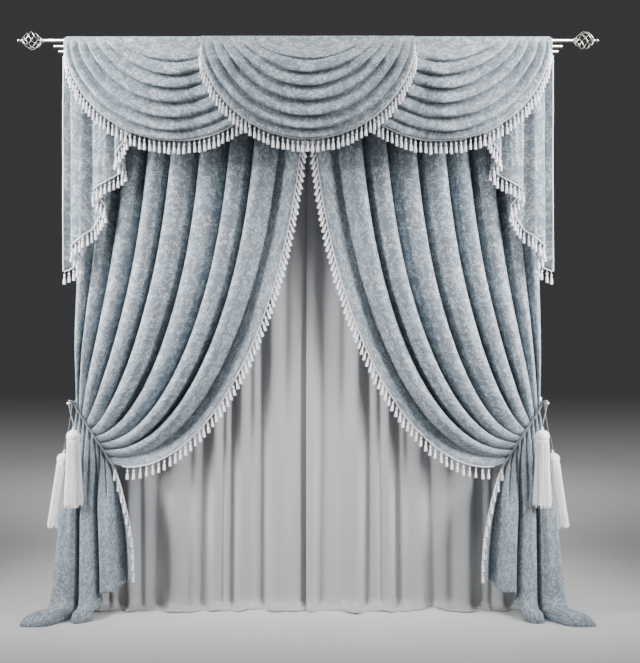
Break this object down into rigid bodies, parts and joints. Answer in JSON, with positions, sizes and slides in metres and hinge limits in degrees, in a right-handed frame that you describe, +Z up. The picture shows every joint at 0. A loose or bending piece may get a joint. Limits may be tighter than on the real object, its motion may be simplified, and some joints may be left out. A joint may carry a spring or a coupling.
{
  "type": "pair of curtains on a triple rod",
  "caption": "Tied-back pair of curtains under a swagged, fringed valance, with floor-length sheers, on a triple rod with wall brackets.",
  "frame": {"origin": "centre of the middle bracket's back face, on the wall plane", "axes": "+X to the viewer's right along the rods, +Y towards the wall, +Z up"},
  "size_m": [2.7026, 0.3932, 2.7195],
  "materials": {
    "satin_nickel": "satin, slightly warm",
    "damask": "pale blue-grey tone-on-tone jacquard with a silvery sheen",
    "voile": "thin white-grey see-through voile",
    "fringe": "silvery white yarn",
    "rope": "twisted silver cord"
  },
  "bodies": {
    "root": {"rod_front": "satin_nickel", "rod_middle": "satin_nickel", "rod_back": "satin_nickel", "finial_left": "satin_nickel", "finial_right": "satin_nickel", "bracket_left": "satin_nickel", "bracket_middle": "satin_nickel", "bracket_right": "satin_nickel", "hook_left": "satin_nickel", "hook_right": "satin_nickel", "swag_center": "damask", "swag_left": "damask", "swag_right": "damask", "jabot_left": "damask", "jabot_right": "damask", "drape_left": "damask", "drape_right": "damask", "sheer_left": "voile", "sheer_right": "voile", "fringe_swag_center": "fringe", "fringe_swag_left": "fringe", "fringe_swag_right": "fringe", "fringe_jabot_left": "fringe", "fringe_jabot_right": "fringe", "fringe_drape_left": "fringe", "fringe_drape_right": "fringe", "fringe_tail_drape_left": "fringe", "fringe_tail_drape_right": "fringe", "tassel_front_left": "fringe", "tassel_front_right": "fringe", "tassel_side_left": "fringe", "tassel_side_right": "fringe", "tieback_left": "rope", "tieback_right": "rope", "tassel_cord_front_left": "rope", "tassel_cord_front_right": "rope", "tassel_cord_side_left": "rope", "tassel_cord_side_right": "rope"}
  },
  "joints": []
}
